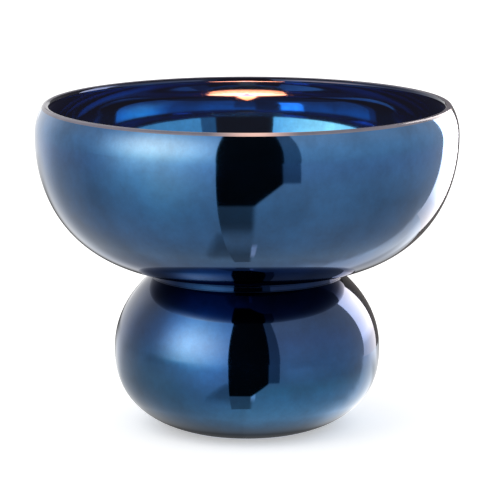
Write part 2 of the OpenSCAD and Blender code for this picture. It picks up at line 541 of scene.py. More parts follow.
@dataclass(frozen=True)
class QuarterCurve:
    """A quarter of a rounded section, from its side at turn 0 towards its pole, in millimetres.

    Fullness 2 is an ellipse. More is flatter at the pole, or straighter at the side.
    """

    FINE_STEPS = 40
    BUNCHING = 1.3
    TINY = 1e-9

    half_width: float
    half_height: float
    pole_fullness: float
    side_fullness: float
    last_turn: float = math.pi / 2

    @classmethod
    def through(cls, half_width: float, fullness: float, radius: float, height: float) -> "QuarterCurve":
        """Makes the curve of even fullness that stops at one point.

        Args:
            half_width: Radius at the side.
            fullness: Fullness of the curve.
            radius: Radius where it stops.
            height: Height where it stops.

        Returns:
            The curve.
        """
        share = radius / half_width
        half_height = height / (1 - share**fullness) ** (1 / fullness)
        return cls(half_width, half_height, fullness, fullness, math.acos(share ** (fullness / 2)))

    def height_at(self, radius: float) -> float:
        """Gives the height over one radius."""
        share = (radius / self.half_width) ** self.pole_fullness
        return self.half_height * (1 - share) ** (1 / self.side_fullness)

    def point(self, turn: float) -> Point:
        """Gives the point at one turn."""
        across = max(math.cos(turn), 0.0) ** (2 / self.pole_fullness)
        return (self.half_width * across, self.half_height * math.sin(turn) ** (2 / self.side_fullness))

    def outward(self, turn: float) -> Point:
        """Gives the outward direction at one turn, of length 1.

        Args:
            turn: Angle from the side, in radians.

        Returns:
            Direction as radius and height.
        """
        pole, side = self.pole_fullness, self.side_fullness
        across = pole / self.half_width * max(math.cos(turn), 0.0) ** (2 - 2 / pole)
        up = side / self.half_height * math.sin(turn) ** (2 - 2 / side)
        length = math.hypot(across, up)
        return (across / length, up / length)

    def run(self, steps: int, side_wall: float = 0.0, end_wall: float = 0.0) -> list[Point]:
        """Gives evenly spaced points from the side to the last turn, moved inwards by a wall.

        Args:
            steps: Number of steps between the points.
            side_wall: Thickness of the wall at the side.
            end_wall: Thickness of the wall at the last turn: it changes evenly with height.

        Returns:
            Points as radius and height over the side.
        """
        fine = self.FINE_STEPS * steps
        turns = [self.last_turn * (i / fine) ** self.BUNCHING for i in range(fine + 1)]
        track = [self.point(t) for t in turns]
        walked = [0.0]
        for near, far in zip(track, track[1:]):
            walked.append(walked[-1] + math.dist(near, far))
        points: list[Point] = []
        place = 0
        for i in range(steps + 1):
            goal = walked[-1] * i / steps
            while place < fine and walked[place] < goal - self.TINY:
                place += 1
            r, z = track[place]
            dr, dz = self.outward(turns[place])
            wall = side_wall + (end_wall - side_wall) * z / track[-1][1]
            points.append((r - wall * dr, z - wall * dz))
        return points


@dataclass
class Section:
    """Half section of a turned piece, from its upper pole round to its lower one, in millimetres."""

    points: list[Point] = field(default_factory=list)
    zones: list[float] = field(default_factory=list)

    def add(self, points: Sequence[Point], zone: Zone = Zone.FIRST) -> "Section":
        """Adds points that take one finish.

        Args:
            points: Points as radius and height.
            zone: The finish along them.

        Returns:
            The section itself.
        """
        self.points.extend(points)
        self.zones.extend([zone.value] * len(points))
        return self


def half_round(middle: Point, start: float, radius: float, steps: int) -> list[Point]:
    """Gives the points of a clockwise half round, both ends left out.

    Args:
        middle: Centre of the rounding.
        start: Direction of its first end, in radians.
        radius: Radius of the rounding.
        steps: Number of steps.

    Returns:
        Points as radius and height.
    """
    angles = [start - math.pi * i / steps for i in range(1, steps)]
    return [(middle[0] + radius * math.cos(a), middle[1] + radius * math.sin(a)) for a in angles]


def stand(name: str, data: ID | None) -> Object:
    """Stands a new object in the scene.

    Args:
        name: The object's name.
        data: Its mesh, light or camera.

    Returns:
        The object.
    """
    made = bpy.data.objects.new(name, data)
    bpy.context.scene.collection.objects.link(made)
    return made


class GeometryTree(Tree):
    """A geometry node tree with named inputs, turned to a plain mesh when it is run."""

    def __init__(self, name: str, inputs: Mapping[str, str]) -> None:
        """Starts the tree.

        Args:
            name: The tree's name.
            inputs: Names of its inputs, with the last word of their socket types.
        """
        super().__init__(bpy.data.node_groups.new(name, "GeometryNodeTree"))
        new = self.tree.interface.new_socket
        self.keys: dict[str, str] = {}
        for label, kind in {"Geometry": "Geometry", **inputs}.items():
            self.keys[label] = new(label, in_out="INPUT", socket_type="NodeSocket" + kind).identifier
        new("Geometry", in_out="OUTPUT", socket_type="NodeSocketGeometry")
        self.sizes = self.add("NodeGroupInput").outputs

    def end(self, shape: Node) -> None:
        """Links the finished shape to the tree's output."""
        self.add("NodeGroupOutput", {0: shape})

    def run(self, name: str, mesh: Mesh, values: Mapping[str, object]) -> Object:
        """Runs the tree on a mesh.

        Args:
            name: Name of the new object.
            mesh: The mesh that the tree starts from.
            values: Values of the named inputs.

        Returns:
            An object with a plain mesh and no modifier.
        """
        piece = stand(name, mesh)
        modifier = piece.modifiers.new("shape", "NODES")
        modifier.node_group = self.tree
        for label, value in values.items():
            modifier[self.keys[label]] = value
        graph = bpy.context.evaluated_depsgraph_get()
        made = bpy.data.meshes.new_from_object(piece.evaluated_get(graph))
        piece.modifiers.remove(modifier)
        piece.data = made
        made.name = name
        bpy.data.meshes.remove(mesh)
        return piece


class Lathe(GeometryTree):
    """Turns half sections about the upright axis, as the glass and the candle are turned."""

    SPINDLE = 0.001
    WELD = 2e-6

    def __init__(self) -> None:
        """Builds the lathe's node tree."""
        finishes = {zone.finish: "Material" for zone in Zone}
        super().__init__("turned_on_a_lathe", {"Segments": "Int", "Spindle Radius": "Float", **finishes})
        add, sizes = self.add, self.sizes
        section = add("GeometryNodeMeshToCurve", {"Mesh": sizes["Geometry"]})
        ring = {"Resolution": sizes["Segments"], "Radius": sizes["Spindle Radius"]}
        circle = add("GeometryNodeCurvePrimitiveCircle", ring)
        turned = add("GeometryNodeCurveToMesh", {"Curve": circle, "Profile Curve": section})
        closed = add("GeometryNodeMergeByDistance", {"Geometry": turned, "Distance": self.WELD})
        even = add("GeometryNodeSetShadeSmooth", {"Geometry": closed})
        shape = add("GeometryNodeRealizeInstances", {"Geometry": even})
        zone_of = add("GeometryNodeInputNamedAttribute", {"Name": "zone"}, data_type="FLOAT")
        for zone in Zone:
            past = {0: zone_of, 1: zone.value - 0.5}
            chosen = add("FunctionNodeCompare", past, data_type="FLOAT", operation="GREATER_THAN")
            dress = {"Geometry": shape, "Selection": chosen, "Material": sizes[zone.finish]}
            shape = add("GeometryNodeSetMaterial", dress)
        self.end(shape)

    def turn(
        self,
        name: str,
        section: Section,
        finishes: Sequence[Material],
        segments: int,
        sharp: float | None = None,
    ) -> Object:
        """Turns one piece.

        Args:
            name: The piece's name.
            section: Its half section.
            finishes: One to three materials, in the order of the zones.
            segments: Number of steps round the axis.
            sharp: Degrees from which an edge stays sharp, if any does.

        Returns:
            The turned piece.
        """
        mesh = bpy.data.meshes.new(name + "_section")
        places = [(r * MM - self.SPINDLE, -z * MM, 0.0) for r, z in section.points]
        mesh.from_pydata(places, [(i, i + 1) for i in range(len(places) - 1)], [])
        mesh.attributes.new("zone", "FLOAT", "POINT").data.foreach_set("value", section.zones)
        values: dict[str, object] = {"Segments": segments, "Spindle Radius": self.SPINDLE}
        for i, zone in enumerate(Zone):
            values[zone.finish] = finishes[min(i, len(finishes) - 1)]
        piece = self.run(name, mesh, values)
        extra = piece.data.attributes.get("zone")
        if extra:
            piece.data.attributes.remove(extra)
        if sharp:
            piece.data.set_sharp_from_angle(angle=math.radians(sharp))
        return piece


class PliedCord(GeometryTree):
    """Lays strands round a straight core, as a braided wick is made."""

    STRAND_SIDES = 10

    def __init__(self) -> None:
        """Builds the cord's node tree."""
        lay = {"Strands": "Int", "Strand Radius": "Float", "Lay Radius": "Float", "Turns": "Float"}
        super().__init__("plied_cord", {**lay, "Points": "Int", "Finish": "Material"})
        add, sizes = self.add, self.sizes
        core = add("GeometryNodeMeshToCurve", {"Mesh": sizes["Geometry"]})
        fine = add("GeometryNodeResampleCurve", {"Curve": core, "Count": sizes["Points"]})
        copies = {"Geometry": fine, "Amount": sizes["Strands"]}
        strands = add("GeometryNodeDuplicateElements", copies, domain="SPLINE")
        number = strands.outputs["Duplicate Index"]
        share = add("ShaderNodeMath", {0: number, 1: sizes["Strands"]}, operation="DIVIDE")
        along = add("GeometryNodeSplineParameter")
        laid = add("ShaderNodeMath", {0: along, 1: sizes["Turns"], 2: share}, operation="MULTIPLY_ADD")
        angle = add("ShaderNodeMath", {0: laid, 1: math.tau}, operation="MULTIPLY")
        across = add("ShaderNodeMath", {0: angle}, operation="COSINE")
        beside = add("ShaderNodeMath", {0: angle}, operation="SINE")
        aim = add("ShaderNodeCombineXYZ", {"X": across, "Y": beside})
        offset = add("ShaderNodeVectorMath", {0: aim, "Scale": sizes["Lay Radius"]}, operation="SCALE")
        placed = add("GeometryNodeSetPosition", {"Geometry": strands, "Offset": offset})
        round_strand = {"Resolution": self.STRAND_SIDES, "Radius": sizes["Strand Radius"]}
        ring = add("GeometryNodeCurvePrimitiveCircle", round_strand)
        tubes = add("GeometryNodeCurveToMesh", {"Curve": placed, "Profile Curve": ring, "Fill Caps": True})
        even = add("GeometryNodeSetShadeSmooth", {"Geometry": tubes})
        real = add("GeometryNodeRealizeInstances", {"Geometry": even})
        self.end(add("GeometryNodeSetMaterial", {"Geometry": real, "Material": sizes["Finish"]}))

    def lay(self, name: str, low_mm: float, high_mm: float, values: Mapping[str, object]) -> Object:
        """Lays one upright cord on the axis.

        Args:
            name: The piece's name.
            low_mm: Height of its lower end.
            high_mm: Height of its upper end.
            values: The tree's inputs.

        Returns:
            The cord.
        """
        mesh = bpy.data.meshes.new(name + "_core")
        mesh.from_pydata([(0, 0, low_mm * MM), (0, 0, high_mm * MM)], [(0, 1)], [])
        return self.run(name, mesh, values)


def volume_of(mesh: Mesh) -> float:
    """Gives a mesh's signed volume, which is above 0 where its faces point outwards.

    Args:
        mesh: A closed mesh.

    Returns:
        The volume in cubic metres.
    """
    mesh.calc_loop_triangles()
    total = 0.0
    for tri in mesh.loop_triangles:
        a, b, c = (mesh.vertices[i].co for i in tri.vertices)
        total += a.dot(b.cross(c)) / 6
    return total


def settle(piece: Object, body: Body, nodes: Sequence[str]) -> Object:
    """Sets a finished piece on its body.

    Args:
        piece: The piece.
        body: The body that it moves with.
        nodes: The solids that it stands for.

    Returns:
        The piece.
    """
    if volume_of(piece.data) < 0:
        piece.data.flip_normals()
    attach(piece, body.value)
    if nodes:
        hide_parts(*nodes)
    return piece


@dataclass
class GlassFoot:
    """Hollow pebble-shaped foot with a closed base and an open mouth, in millimetres."""

    width: float = 109.6
    middle_h: float = 33.2
    mouth_h: float = 63.2
    mouth_width: float = 79.0
    crown_fullness: float = 2.0
    base_fullness: float = 2.5
    base_width: float = 57.0
    stand_w: float = 8.5
    kick_h: float = 1.6
    wall: float = 3.2
    steps: int = 84
    inside_steps: int = 28
    mouth_steps: int = 14
    segments: int = 288
    sharp: float = 32.0

    @property
    def low(self) -> QuarterCurve:
        """Curve below the widest line."""
        return QuarterCurve.through(self.width / 2, self.base_fullness, self.base_width / 2, self.middle_h)

    @property
    def high(self) -> QuarterCurve:
        """Curve above the widest line."""
        rise = self.mouth_h - self.middle_h
        return QuarterCurve.through(self.width / 2, self.crown_fullness, self.mouth_width / 2, rise)

    @property
    def mouth_middle(self) -> Point:
        """Centre of the mouth's rounded edge."""
        dr, dz = self.high.outward(self.high.last_turn)
        return (self.mouth_width / 2 - dr * self.wall / 2, self.mouth_h - dz * self.wall / 2)

    def build(self, lathe: Lathe, glass: Material) -> Object:
        """Turns the foot.

        Args:
            lathe: The lathe.
            glass: The mirrored glass.

        Returns:
            The foot.
        """
        z, wall = self.middle_h, self.wall
        kick_r = self.base_width / 2 - self.stand_w
        floor_r = self.base_width / 2 - wall
        inside_low = [(r, z - h) for r, h in self.low.run(self.inside_steps, wall, wall)]
        inside_low = [p for p in inside_low if p[0] > floor_r]
        inside_high = [(r, z + h) for r, h in self.high.run(self.inside_steps, wall, wall)]
        dr, dz = self.high.outward(self.high.last_turn)
        edge = half_round(self.mouth_middle, math.atan2(dz, dr) + math.pi, wall / 2, self.mouth_steps)
        outside_high = [(r, z + h) for r, h in self.high.run(self.steps)]
        outside_low = [(r, z - h) for r, h in self.low.run(self.steps)]
        section = Section()
        section.add([(0, wall + self.kick_h), (kick_r - self.kick_h, wall + self.kick_h)])
        section.add([(kick_r, wall), (floor_r, wall)])
        section.add(inside_low[::-1] + inside_high[1:] + edge)
        section.add(outside_high[::-1] + outside_low[1:])
        section.add([(kick_r, 0), (kick_r - self.kick_h, self.kick_h), (0, self.kick_h)])
        piece = lathe.turn("mirrored_foot", section, [glass], self.segments, self.sharp)
        return settle(piece, Body.HOLDER, ["foot"])


@dataclass
class GlassBowl:
    """Deep bowl with an in-turned round lip and a flat floor, in millimetres."""

    rest_r: float
    rest_z: float
    width: float = 174.0
    depth: float = 58.2
    base_fullness: float = 3.3
    side_fullness: float = 2.04
    shoulder_rise: float = 12.1
    shoulder_inset: float = 3.15
    shoulder_fullness: float = 2.22
    wall: float = 3.2
    base_wall: float = 6.8
    seat_r: float = 20.8
    lip_from: float = 0.45
    lip_fall: float = 0.2
    steps: int = 110
    shoulder_steps: int = 30
    lip_steps: int = 25
    floor_steps: int = 6
    segments: int = 256

    @property
    def low(self) -> QuarterCurve:
        """Curve below the widest line."""
        return QuarterCurve(self.width / 2, self.depth, self.base_fullness, self.side_fullness)

    @property
    def lip_r(self) -> float:
        """Radius where the shoulder ends and the lip turns in."""
        return self.width / 2 - self.shoulder_inset

    @property
    def high(self) -> QuarterCurve:
        """Curve of the shoulder, up to the lip."""
        return QuarterCurve.through(self.width / 2, self.shoulder_fullness, self.lip_r, self.shoulder_rise)

    @property
    def widest_z(self) -> float:
        """Height of the widest line, where the underside rests on the adhesive."""
        return self.rest_z + self.low.height_at(self.rest_r)

    @property
    def side_wall(self) -> float:
        """Thickness of the glass at the widest line."""
        share = self.shoulder_rise / (self.shoulder_rise + self.depth)
        return self.wall + (self.base_wall - self.wall) * share

    @property
    def seat_z(self) -> float:
        """Height of the flat floor that the tealight stands on."""
        return self.widest_z + self.base_wall - self.low.height_at(self.seat_r)

    def underside_z(self, radius: float) -> float:
        """Gives the height of the underside at one radius."""
        return self.widest_z - self.low.height_at(radius)

    def build(self, lathe: Lathe, finishes: Sequence[Material]) -> Object:
        """Turns the bowl.

        Args:
            lathe: The lathe.
            finishes: The inner lustre, the bare lip and the outer lustre.

        Returns:
            The bowl.
        """
        z = self.widest_z
        inside_low = [(r, z - h) for r, h in self.low.run(self.steps, self.side_wall, self.base_wall)]
        inside_low = [p for p in inside_low if p[0] > self.seat_r]
        inside_high = [(r, z + h) for r, h in self.high.run(self.shoulder_steps, self.side_wall, self.wall)]
        floor = [(self.seat_r * i / self.floor_steps, self.seat_z) for i in range(self.floor_steps + 1)]
        dr, dz = self.high.outward(self.high.last_turn)
        middle = (self.lip_r - dr * self.wall / 2, z + self.shoulder_rise - dz * self.wall / 2)
        edge = half_round(middle, math.atan2(dz, dr) + math.pi, self.wall / 2, self.lip_steps)
        first = round(len(edge) * self.lip_from)
        outside_high = [(r, z + h) for r, h in reversed(self.high.run(self.shoulder_steps))]
        coat_z = z + self.shoulder_rise - self.lip_fall
        bare = [p for p in outside_high if p[1] >= coat_z]
        outside_low = [(r, z - h) for r, h in self.low.run(self.steps)]
        section = Section().add(floor + inside_low[::-1] + inside_high[1:] + edge[:first])
        section.add(edge[first:] + bare, Zone.SECOND)
        section.add(outside_high[len(bare) :] + outside_low[1:], Zone.THIRD)
        piece = lathe.turn("mirrored_bowl", section, finishes, self.segments)
        return settle(piece, Body.HOLDER, ["bowl"])


@dataclass
class BondRing:
    """Ring of cured adhesive between the foot's mouth and the bowl's underside, in millimetres."""

    width: float = 2.3
    thickness: float = 1.6
    low_bead: float = 0.25
    low_bead_steps: int = 13
    high_bead: float = 0.13
    high_bead_steps: int = 9
    steps: int = 10
    segments: int = 192
    sharp: float = 40.0

    def build(self, lathe: Lathe, finishes: Sequence[Material], foot: GlassFoot, bowl: GlassBowl) -> Object:
        """Turns the ring, with a squeezed-out bead along each edge that the lustre covers too.

        Args:
            lathe: The lathe.
            finishes: The bare adhesive and the lustre.
            foot: The foot that it sits on.
            bowl: The bowl that it carries.

        Returns:
            The ring.
        """
        middle_r, middle_z = foot.mouth_middle
        low_r = middle_r - self.width / 2
        radii = [low_r + self.width * i / self.steps for i in range(self.steps + 1)]
        top = [(r, bowl.underside_z(r)) for r in radii]
        edge_r = foot.wall / 2
        under = [(r, middle_z + math.sqrt(edge_r**2 - (r - middle_r) ** 2)) for r in reversed(radii)]
        high, low = (radii[-1], top[-1][1] - self.high_bead), (radii[-1], under[0][1] + self.low_bead)
        beads = half_round(high, math.pi / 2, self.high_bead, self.high_bead_steps)
        beads += half_round(low, math.pi / 2, self.low_bead, self.low_bead_steps)
        section = Section().add(top).add(beads, Zone.SECOND).add(under + [top[0]])
        piece = lathe.turn("bond_ring_clear", section, finishes, self.segments, self.sharp)
        return settle(piece, Body.HOLDER, ["bond_ring"])


@dataclass
class Tealight:
    """Clear cup with a white candle, its wick, sustainer and flame, in millimetres."""

    floor_z: float
    cup_d: float = 38.4
    cup_h: float = 16.6
    cup_wall: float = 0.8
    cup_floor: float = 0.8
    cup_steps: int = 10
    chamfer: float = 1.0
    wax_drop: float = 2.8
    wax_dish: float = 1.2
    wax_clear: float = 0.3
    wax_dish_steps: int = 24
    wax_side_steps: int = 8
    wick_d: float = 1.8
    wick_reach: float = 8.0
    wick_strands: int = 3
    wick_turns: float = 6.0
    wick_points: int = 120
    sustainer_d: float = 12.6
    sustainer_t: float = 0.4
    sustainer_segments: int = 64
    tube_h: float = 4.6
    flame_h: float = 21.0
    flame_d: float = 8.4
    flame_sink: float = 4.5
    flame_lean: float = 0.62
    flame_swell: float = 0.9
    flame_steps: int = 40
    flame_segments: int = 48
    segments: int = 128
    sharp: float = 35.0

    @property
    def wax_z(self) -> float:
        """Height of the underside of the wax."""
        return self.floor_z + self.cup_floor

    @property
    def wax_r(self) -> float:
        """Radius of the wax."""
        return self.cup_d / 2 - self.cup_wall - self.wax_clear

    @property
    def wax_top(self) -> float:
        """Height of the wax at its edge."""
        return self.wax_z + self.cup_h - self.cup_floor - self.wax_drop

    @property
    def wick_top(self) -> float:
        """Height of the wick's tip."""
        return self.wax_top - self.wax_dish + self.wick_reach

    @property
    def flame_z(self) -> float:
        """Height of the foot of the flame."""
        return self.wick_top - self.flame_sink

    @property
    def tube(self) -> list[Point]:
        """Gives the outer corners of the sustainer.

        Returns:
            Points from its rim up to the top of its tube's bore.
        """
        bore, step = self.wick_d / 2, self.wax_z + self.sustainer_t
        outer, top, rim = bore + self.sustainer_t, step + self.tube_h, self.sustainer_d / 2
        return [(rim, self.wax_z), (rim, step), (outer, step), (outer, top), (bore, top)]

    def cup(self, lathe: Lathe, plastic: Material) -> Object:
        """Turns the clear cup.

        Args:
            lathe: The lathe.
            plastic: The cup's material.

        Returns:
            The cup.
        """
        outer = self.cup_d / 2
        inner = outer - self.cup_wall
        top = self.floor_z + self.cup_h - self.cup_wall / 2
        steps = self.cup_steps
        edge = half_round((outer - self.cup_wall / 2, top), math.pi, self.cup_wall / 2, steps)
        rise = [top - (top - self.wax_z - self.chamfer) * i / steps for i in range(steps, -1, -1)]
        fall = [top - (top - self.floor_z - self.chamfer) * i / steps for i in range(steps + 1)]
        section = Section().add([(0, self.wax_z), (inner - self.chamfer, self.wax_z)])
        section.add([(inner, h) for h in rise] + edge + [(outer, h) for h in fall])
        section.add([(outer - self.chamfer, self.floor_z), (0, self.floor_z)])
        piece = lathe.turn("tealight_cup_clear", section, [plastic], self.segments, self.sharp)
        return settle(piece, Body.TEALIGHT, ["tealight_cup"])

    def wax(self, lathe: Lathe, wax: Material) -> Object:
        """Turns the candle with its melted dish and the hole for the wick and sustainer.

        Args:
            lathe: The lathe.
            wax: The wax's material.

        Returns:
            The candle's wax.
        """
        bore, count = self.wick_d / 2, self.wax_dish_steps
        radii = [bore + (self.wax_r - bore) * i / count for i in range(count + 1)]
        dish = [(r, self.wax_top - self.wax_dish * (1 - (r / self.wax_r) ** 2)) for r in radii]
        drop, count = self.wax_top - self.wax_z - self.chamfer, self.wax_side_steps
        side = [(self.wax_r, self.wax_top - drop * i / count) for i in range(1, count + 1)]
        foot = (self.wax_r - self.chamfer, self.wax_z)
        section = Section().add([*dish, *side, foot, *self.tube, dish[0]])
        piece = lathe.turn("candle_wax_body", section, [wax], self.segments, self.sharp)
        return settle(piece, Body.CANDLE, ["candle_wax"])

    def wick(self, cord: PliedCord, cotton: Material) -> Object:
        """Lays the braided wick.

        Args:
            cord: The cord layer.
            cotton: The wick's material.

        Returns:
            The wick.
        """
        strand = self.wick_d / 4 * MM
        values = {"Strands": self.wick_strands, "Strand Radius": strand, "Lay Radius": strand}
        values |= {"Turns": self.wick_turns, "Points": self.wick_points, "Finish": cotton}
        piece = cord.lay("wick_braid", self.wax_z, self.wick_top, values)
        return settle(piece, Body.CANDLE, ["wick"])

    def sustainer(self, lathe: Lathe, tin: Material) -> Object:
        """Turns the sustainer's disc and tube.

        Args:
            lathe: The lathe.
            tin: The sheet metal.

        Returns:
            The sustainer.
        """
        corners = self.tube[::-1]
        section = Section().add([*corners, (self.wick_d / 2, self.wax_z), corners[0]])
        piece = lathe.turn("sustainer_sheet", section, [tin], self.sustainer_segments, self.sharp)
        return settle(piece, Body.CANDLE, ["wick_sustainer"])

    def flame(self, lathe: Lathe, fire: Material) -> Object:
        """Turns the flame's teardrop round the wick's burnt end.

        Args:
            lathe: The lathe.
            fire: The flame's material.

        Returns:
            The flame.
        """
        points = []
        for i in range(self.flame_steps + 1):
            share = 1 - i / self.flame_steps
            bulge = 0.0
            if 0 < share < 1:
                bulge = math.sin(math.pi * share**self.flame_lean) ** self.flame_swell
            points.append((self.flame_d / 2 * bulge, self.flame_z + self.flame_h * share))
        piece = lathe.turn("flame_teardrop", Section().add(points), [fire], self.flame_segments)
        return settle(piece, Body.CANDLE, [])


def around(azimuth: float, radius: float) -> Point:
    """Gives the place at one azimuth in degrees and one radius."""
    return (radius * math.sin(math.radians(azimuth)), -radius * math.cos(math.radians(azimuth)))


def grey(level: float) -> Light:
    """Gives a neutral light."""
    return (level, level, level)


def smooth(value: float, low: float, high: float) -> float:
    """Gives a soft step from 0 at low to 1 at high."""
    share = min(1.0, max(0.0, (value - low) / (high - low)))
    return share * share * (3 - 2 * share)


# Levels of the white scrim and panel, of the black gap that the camera stands in, and of its dim side.
WHITE = 0.85
BLACK = grey(0.01)
DIM = (0.22, 0.27, 0.32)
# Metres: how far off the scrim stands, and the height that the table's reflections are looked at from.
SCRIM_R = 1.75
LOOK_Z = 0.1
# The warm lamp behind the scrim: its azimuth and elevation in degrees, how far its red, green and blue
# spread to its left and right, below it and above it, and how bright each is.
LAMP_AT = (-52.0, 19.0)
LAMP_LEFT, LAMP_RIGHT = (21.5, 24.0, 28.0), (29.0, 32.0, 38.0)
LAMP_BELOW, LAMP_ABOVE = (21.5, 27.5, 31.0), (22.0, 26.0, 30.0)
LAMP_LEVELS = (5.4, 2.9, 1.6)


@dataclass(frozen=True)
class Tone:
    """A soft-edged lighter or darker area of the table, by azimuth in degrees and radius in metres.

    Each pair is where the area begins to come in or go out, and where it has done so.
    """

    level: float
    azimuth_in: Point = (-400.0, -399.0)
    azimuth_out: Point = (400.0, 401.0)
    radius_in: Point = (-2.0, -1.0)
    radius_out: Point = (9.0, 10.0)

    def at(self, azimuth: float, radius: float) -> float:
        """Gives how much light the area adds at one place.

        Args:
            azimuth: Degrees from the camera's side.
            radius: Metres from the object's axis.

        Returns:
            The light, below 0 where the area is darker.
        """
        across = smooth(azimuth, *self.azimuth_in) * (1 - smooth(azimuth, *self.azimuth_out))
        within = self.level * across * smooth(radius, *self.radius_in)
        return within * (1 - smooth(radius, *self.radius_out))


TONES = (
    Tone(0.1, azimuth_out=(-98, -76), radius_out=(0.1, 0.45)),
    Tone(-0.12, (-96, -84), (-70, -58), (0.12, 0.3)),
    Tone(0.12, (24, 32), (42, 56), (0.09, 0.14), (0.22, 0.32)),
    Tone(-0.12, (60, 70), (100, 106), (0.09, 0.14), (0.22, 0.32)),
    Tone(-0.09, (40, 60), radius_in=(0.2, 0.3)),
)


def lamp_light(azimuth: float, elevation: float) -> Light:
    """Gives the light on the left, on the scrim above the table and on the table below.

    Args:
        azimuth: Degrees from the camera's side.
        elevation: Degrees over the table's far edge, below 0 on the table.

    Returns:
        Red, green and blue light of the warm lamp and the dimmer white round it.
    """
    aside, above = azimuth - LAMP_AT[0], elevation - LAMP_AT[1]
    widths = LAMP_RIGHT if aside > 0 else LAMP_LEFT
    heights = LAMP_ABOVE if above > 0 else LAMP_BELOW
    hot = [math.exp(-((aside / w) ** 2) - (above / h) ** 2) for w, h in zip(widths, heights)]
    base = WHITE - 0.23 * smooth(-azimuth, 62, 95) + 0.34 * smooth(-azimuth, 115, 140)
    red, green, blue = (base + level * share for level, share in zip(LAMP_LEVELS, hot))
    return (red, green, blue)


def panel_light(azimuth: float, elevation: float) -> Light:
    """Gives the light of the right panel, a little weaker at its foot and towards the back."""
    return grey((WHITE + 0.08 * smooth(elevation, -4, 14)) * (1 - 0.13 * smooth(azimuth, 48, 72)))


def table_light(azimuth: float, radius: float) -> Light:
    """Gives the light of the table top: lit by the lamp and the white strip, shaded behind the object.

    Args:
        azimuth: Degrees from the camera's side.
        radius: Metres from the object's axis.

    Returns:
        Red, green and blue light.
    """
    x, y = around(azimuth, radius)
    # The lamp's light falls down the table, and leans a little near the object.
    fall = math.degrees(math.atan(LOOK_Z / SCRIM_R) - math.atan(LOOK_Z / max(radius, 0.01)))
    near = 1 - smooth(radius, 0.25, 0.9)
    fall += near * (3 * smooth(azimuth, -48, -36) - 8 * smooth(-azimuth, 44, 58))
    # The white strip's own light lies past a slanting line on the right.
    ahead = y - 0.58 * x + 0.054
    strip = 0.6 * smooth(x, 0.02, 0.04) * (1 - smooth(ahead, 0.042, 0.062))
    strip += 1.1 * smooth(ahead, 0.035, 0.065) * smooth(radius, 0.1, 0.2) * (1 - smooth(azimuth, 133, 139))
    strip *= smooth(ahead, -0.005, 0.005) * (1 - smooth(radius, 0.21, 0.23)) * (azimuth > 0)
    # The object shades the table behind it and under its foot, and a slip of it at the front left.
    behind = abs((azimuth + 360) % 360 - 180)
    shade = (1 - smooth(behind, 22, 40)) * (1 - smooth(radius, 0.4, 0.6))
    shade = 1 - 0.9 * max(shade, 1 - smooth(radius, 0.034, 0.046))
    if x < 0 and y < 0:
        slip = smooth(radius, 0.066, 0.085) * (1 - smooth(radius, 0.12, 0.145))
        shade *= 1 - 0.5 * smooth(x, -0.038, -0.031) * slip
    if azimuth < 0:
        shade *= 0.9 + 0.1 * smooth(radius, 0.09, 0.13)
    light = lamp_light(azimuth, fall) if azimuth < 0 else grey(WHITE)
    more = max(0.0, strip) + sum(tone.at(azimuth, radius) for tone in TONES)
    red, green, blue = (shade * (part + more) for part in light)
    return (red, green, blue)


def reflected_grid(
    name: str,
    wide: int,
    places: Sequence[Place],
    lights: Sequence[Light],
    material: Material | None = None,
    closed: bool = False,
) -> Object:
    """Makes a glowing or black grid that only mirrors and glass see.

    Args:
        name: The object's name.
        wide: Vertices in one of its rows.
        places: Its vertices, row by row.
        lights: How each vertex glows in red, green and blue, where 1 is white.
        material: Its material, if that isn't the plain glow of its vertices.
        closed: Whether each row runs back to its start.

    Returns:
        The stage object.
    """
    faces = []
    for start in range(0, len(places) - wide, wide):
        for i in range(wide if closed else wide - 1):
            k, after = start + i, start + (i + 1) % wide
            faces.append((k, after, after + wide, k + wide))
    mesh = bpy.data.meshes.new(name)
    mesh.from_pydata(places, [], faces)
    glow = mesh.attributes.new("glow", "FLOAT_COLOR", "POINT")
    glow.data.foreach_set("color", [part for light in lights for part in (*light, 1.0)])
    if not material:
        made = MaterialTree(name + "_glow")
        read = made.add("ShaderNodeAttribute", attribute_name="glow")
        material = made.end(made.add("ShaderNodeEmission", {"Color": read}))
    mesh.materials.append(material)
    grid = stand(name, mesh)
    grid.visible_camera = False
    grid.visible_diffuse = False
    grid.visible_shadow = False
    grid.visible_transmission = False
    return grid


@dataclass
class Card:
    """A studio card on a dome round the object, seen only in reflections. Angles are in degrees.

    Azimuth 0 is the camera's side, and a positive azimuth lies to the camera's right.
    """

    name: str
    azimuth: Point
    elevation: Point
    radius: float
    light: Light | Callable[[float, float], Light]
    steps: tuple[int, int] = (32, 24)

    def build(self) -> Object:
        """Builds the card.

        Returns:
            The card.
        """
        wide, high = self.steps
        (left, right), (low, top) = self.azimuth, self.elevation
        places, lights = [], []
        for j in range(high + 1):
            el = low + (top - low) * j / high
            flat, rise = self.radius * math.cos(math.radians(el)), self.radius * math.sin(math.radians(el))
            for i in range(wide + 1):
                az = left + (right - left) * i / wide
                places.append((*around(az, flat), rise))
                lights.append(self.light(az, el) if callable(self.light) else self.light)
        return reflected_grid(self.name, wide + 1, places, lights)


